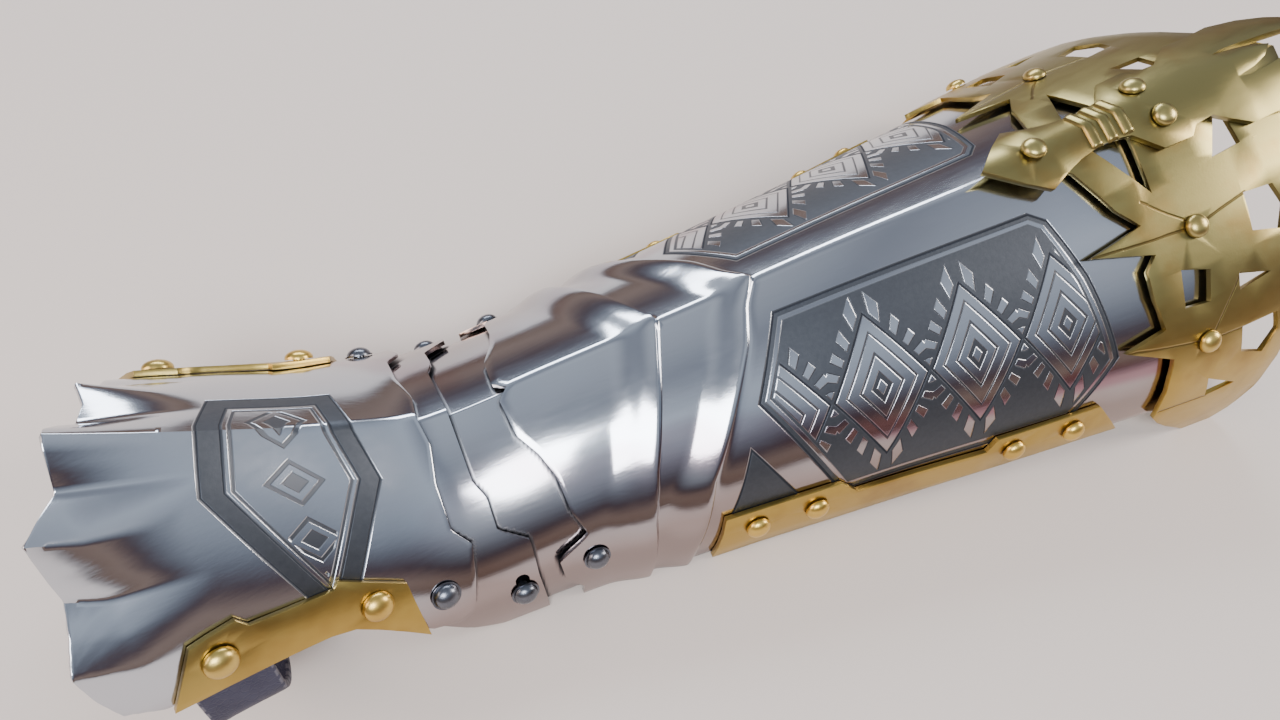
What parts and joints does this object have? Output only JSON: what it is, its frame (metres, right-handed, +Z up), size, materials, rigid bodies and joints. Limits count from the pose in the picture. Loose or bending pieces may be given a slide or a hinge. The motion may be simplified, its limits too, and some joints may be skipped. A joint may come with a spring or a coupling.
{
  "type": "vambrace",
  "caption": "Polished steel vambrace with a keeled forearm plate, two wrist lames, a fluted hand flare, brass strips, a pierced brass elbow band and a bladed keel strap.",
  "frame": {"origin": "on the floor, below the middle of the whole length, on the symmetry plane", "axes": "+X from the hand to the elbow, +Y to the far side, +Z up through the keel"},
  "size_m": [0.3693, 0.1568, 0.0981],
  "materials": {
    "polished_steel": "polished",
    "rivet_steel": "satin",
    "brass": "satin",
    "dark_leather": "matte"
  },
  "bodies": {
    "forearm": {"forearm_plate": "polished_steel", "forearm_strip_near": "brass", "forearm_strip_far": "brass", "elbow_trim": "brass", "keel_ornament": "brass", "strip_rivet_near_1": "brass", "strip_rivet_near_2": "brass", "strip_rivet_near_3": "brass", "strip_rivet_near_4": "brass", "strip_rivet_far_1": "brass", "strip_rivet_far_2": "brass", "strip_rivet_far_3": "brass", "strip_rivet_far_4": "brass", "trim_rivet_near_1": "brass", "trim_rivet_near_2": "brass", "trim_rivet_far_1": "brass", "trim_rivet_far_2": "brass", "ornament_rivet_tip": "brass", "ornament_rivet_near": "brass", "ornament_rivet_far": "brass", "steel_rivet_c_near": "rivet_steel", "steel_rivet_c_far": "rivet_steel"},
    "inner_lame": {"inner_lame": "polished_steel", "steel_rivet_b_near": "rivet_steel", "steel_rivet_b_far": "rivet_steel"},
    "outer_lame": {"outer_lame": "polished_steel"},
    "hand_flare": {"flare_plate": "polished_steel", "flare_strip_near": "brass", "flare_strip_far": "brass", "hand_strap": "dark_leather", "flare_rivet_near_1": "brass", "flare_rivet_near_2": "brass", "flare_rivet_far_1": "brass", "flare_rivet_far_2": "brass", "steel_rivet_a_near": "rivet_steel", "steel_rivet_a_far": "rivet_steel"}
  },
  "joints": [
    {"name": "inner_lame_pivot", "type": "hinge", "parent": "forearm", "child": "inner_lame", "pos_m": [-0.07675, 0, 0.018], "axis": [0, 1, 0], "range_deg": [-6, 6]},
    {"name": "outer_lame_pivot", "type": "hinge", "parent": "inner_lame", "child": "outer_lame", "pos_m": [-0.09725, 0, 0.0145], "axis": [0, 1, 0], "range_deg": [-6, 6]},
    {"name": "flare_pivot", "type": "hinge", "parent": "outer_lame", "child": "hand_flare", "pos_m": [-0.11675, 0, 0.025], "axis": [0, 1, 0], "range_deg": [-5, 5]}
  ]
}
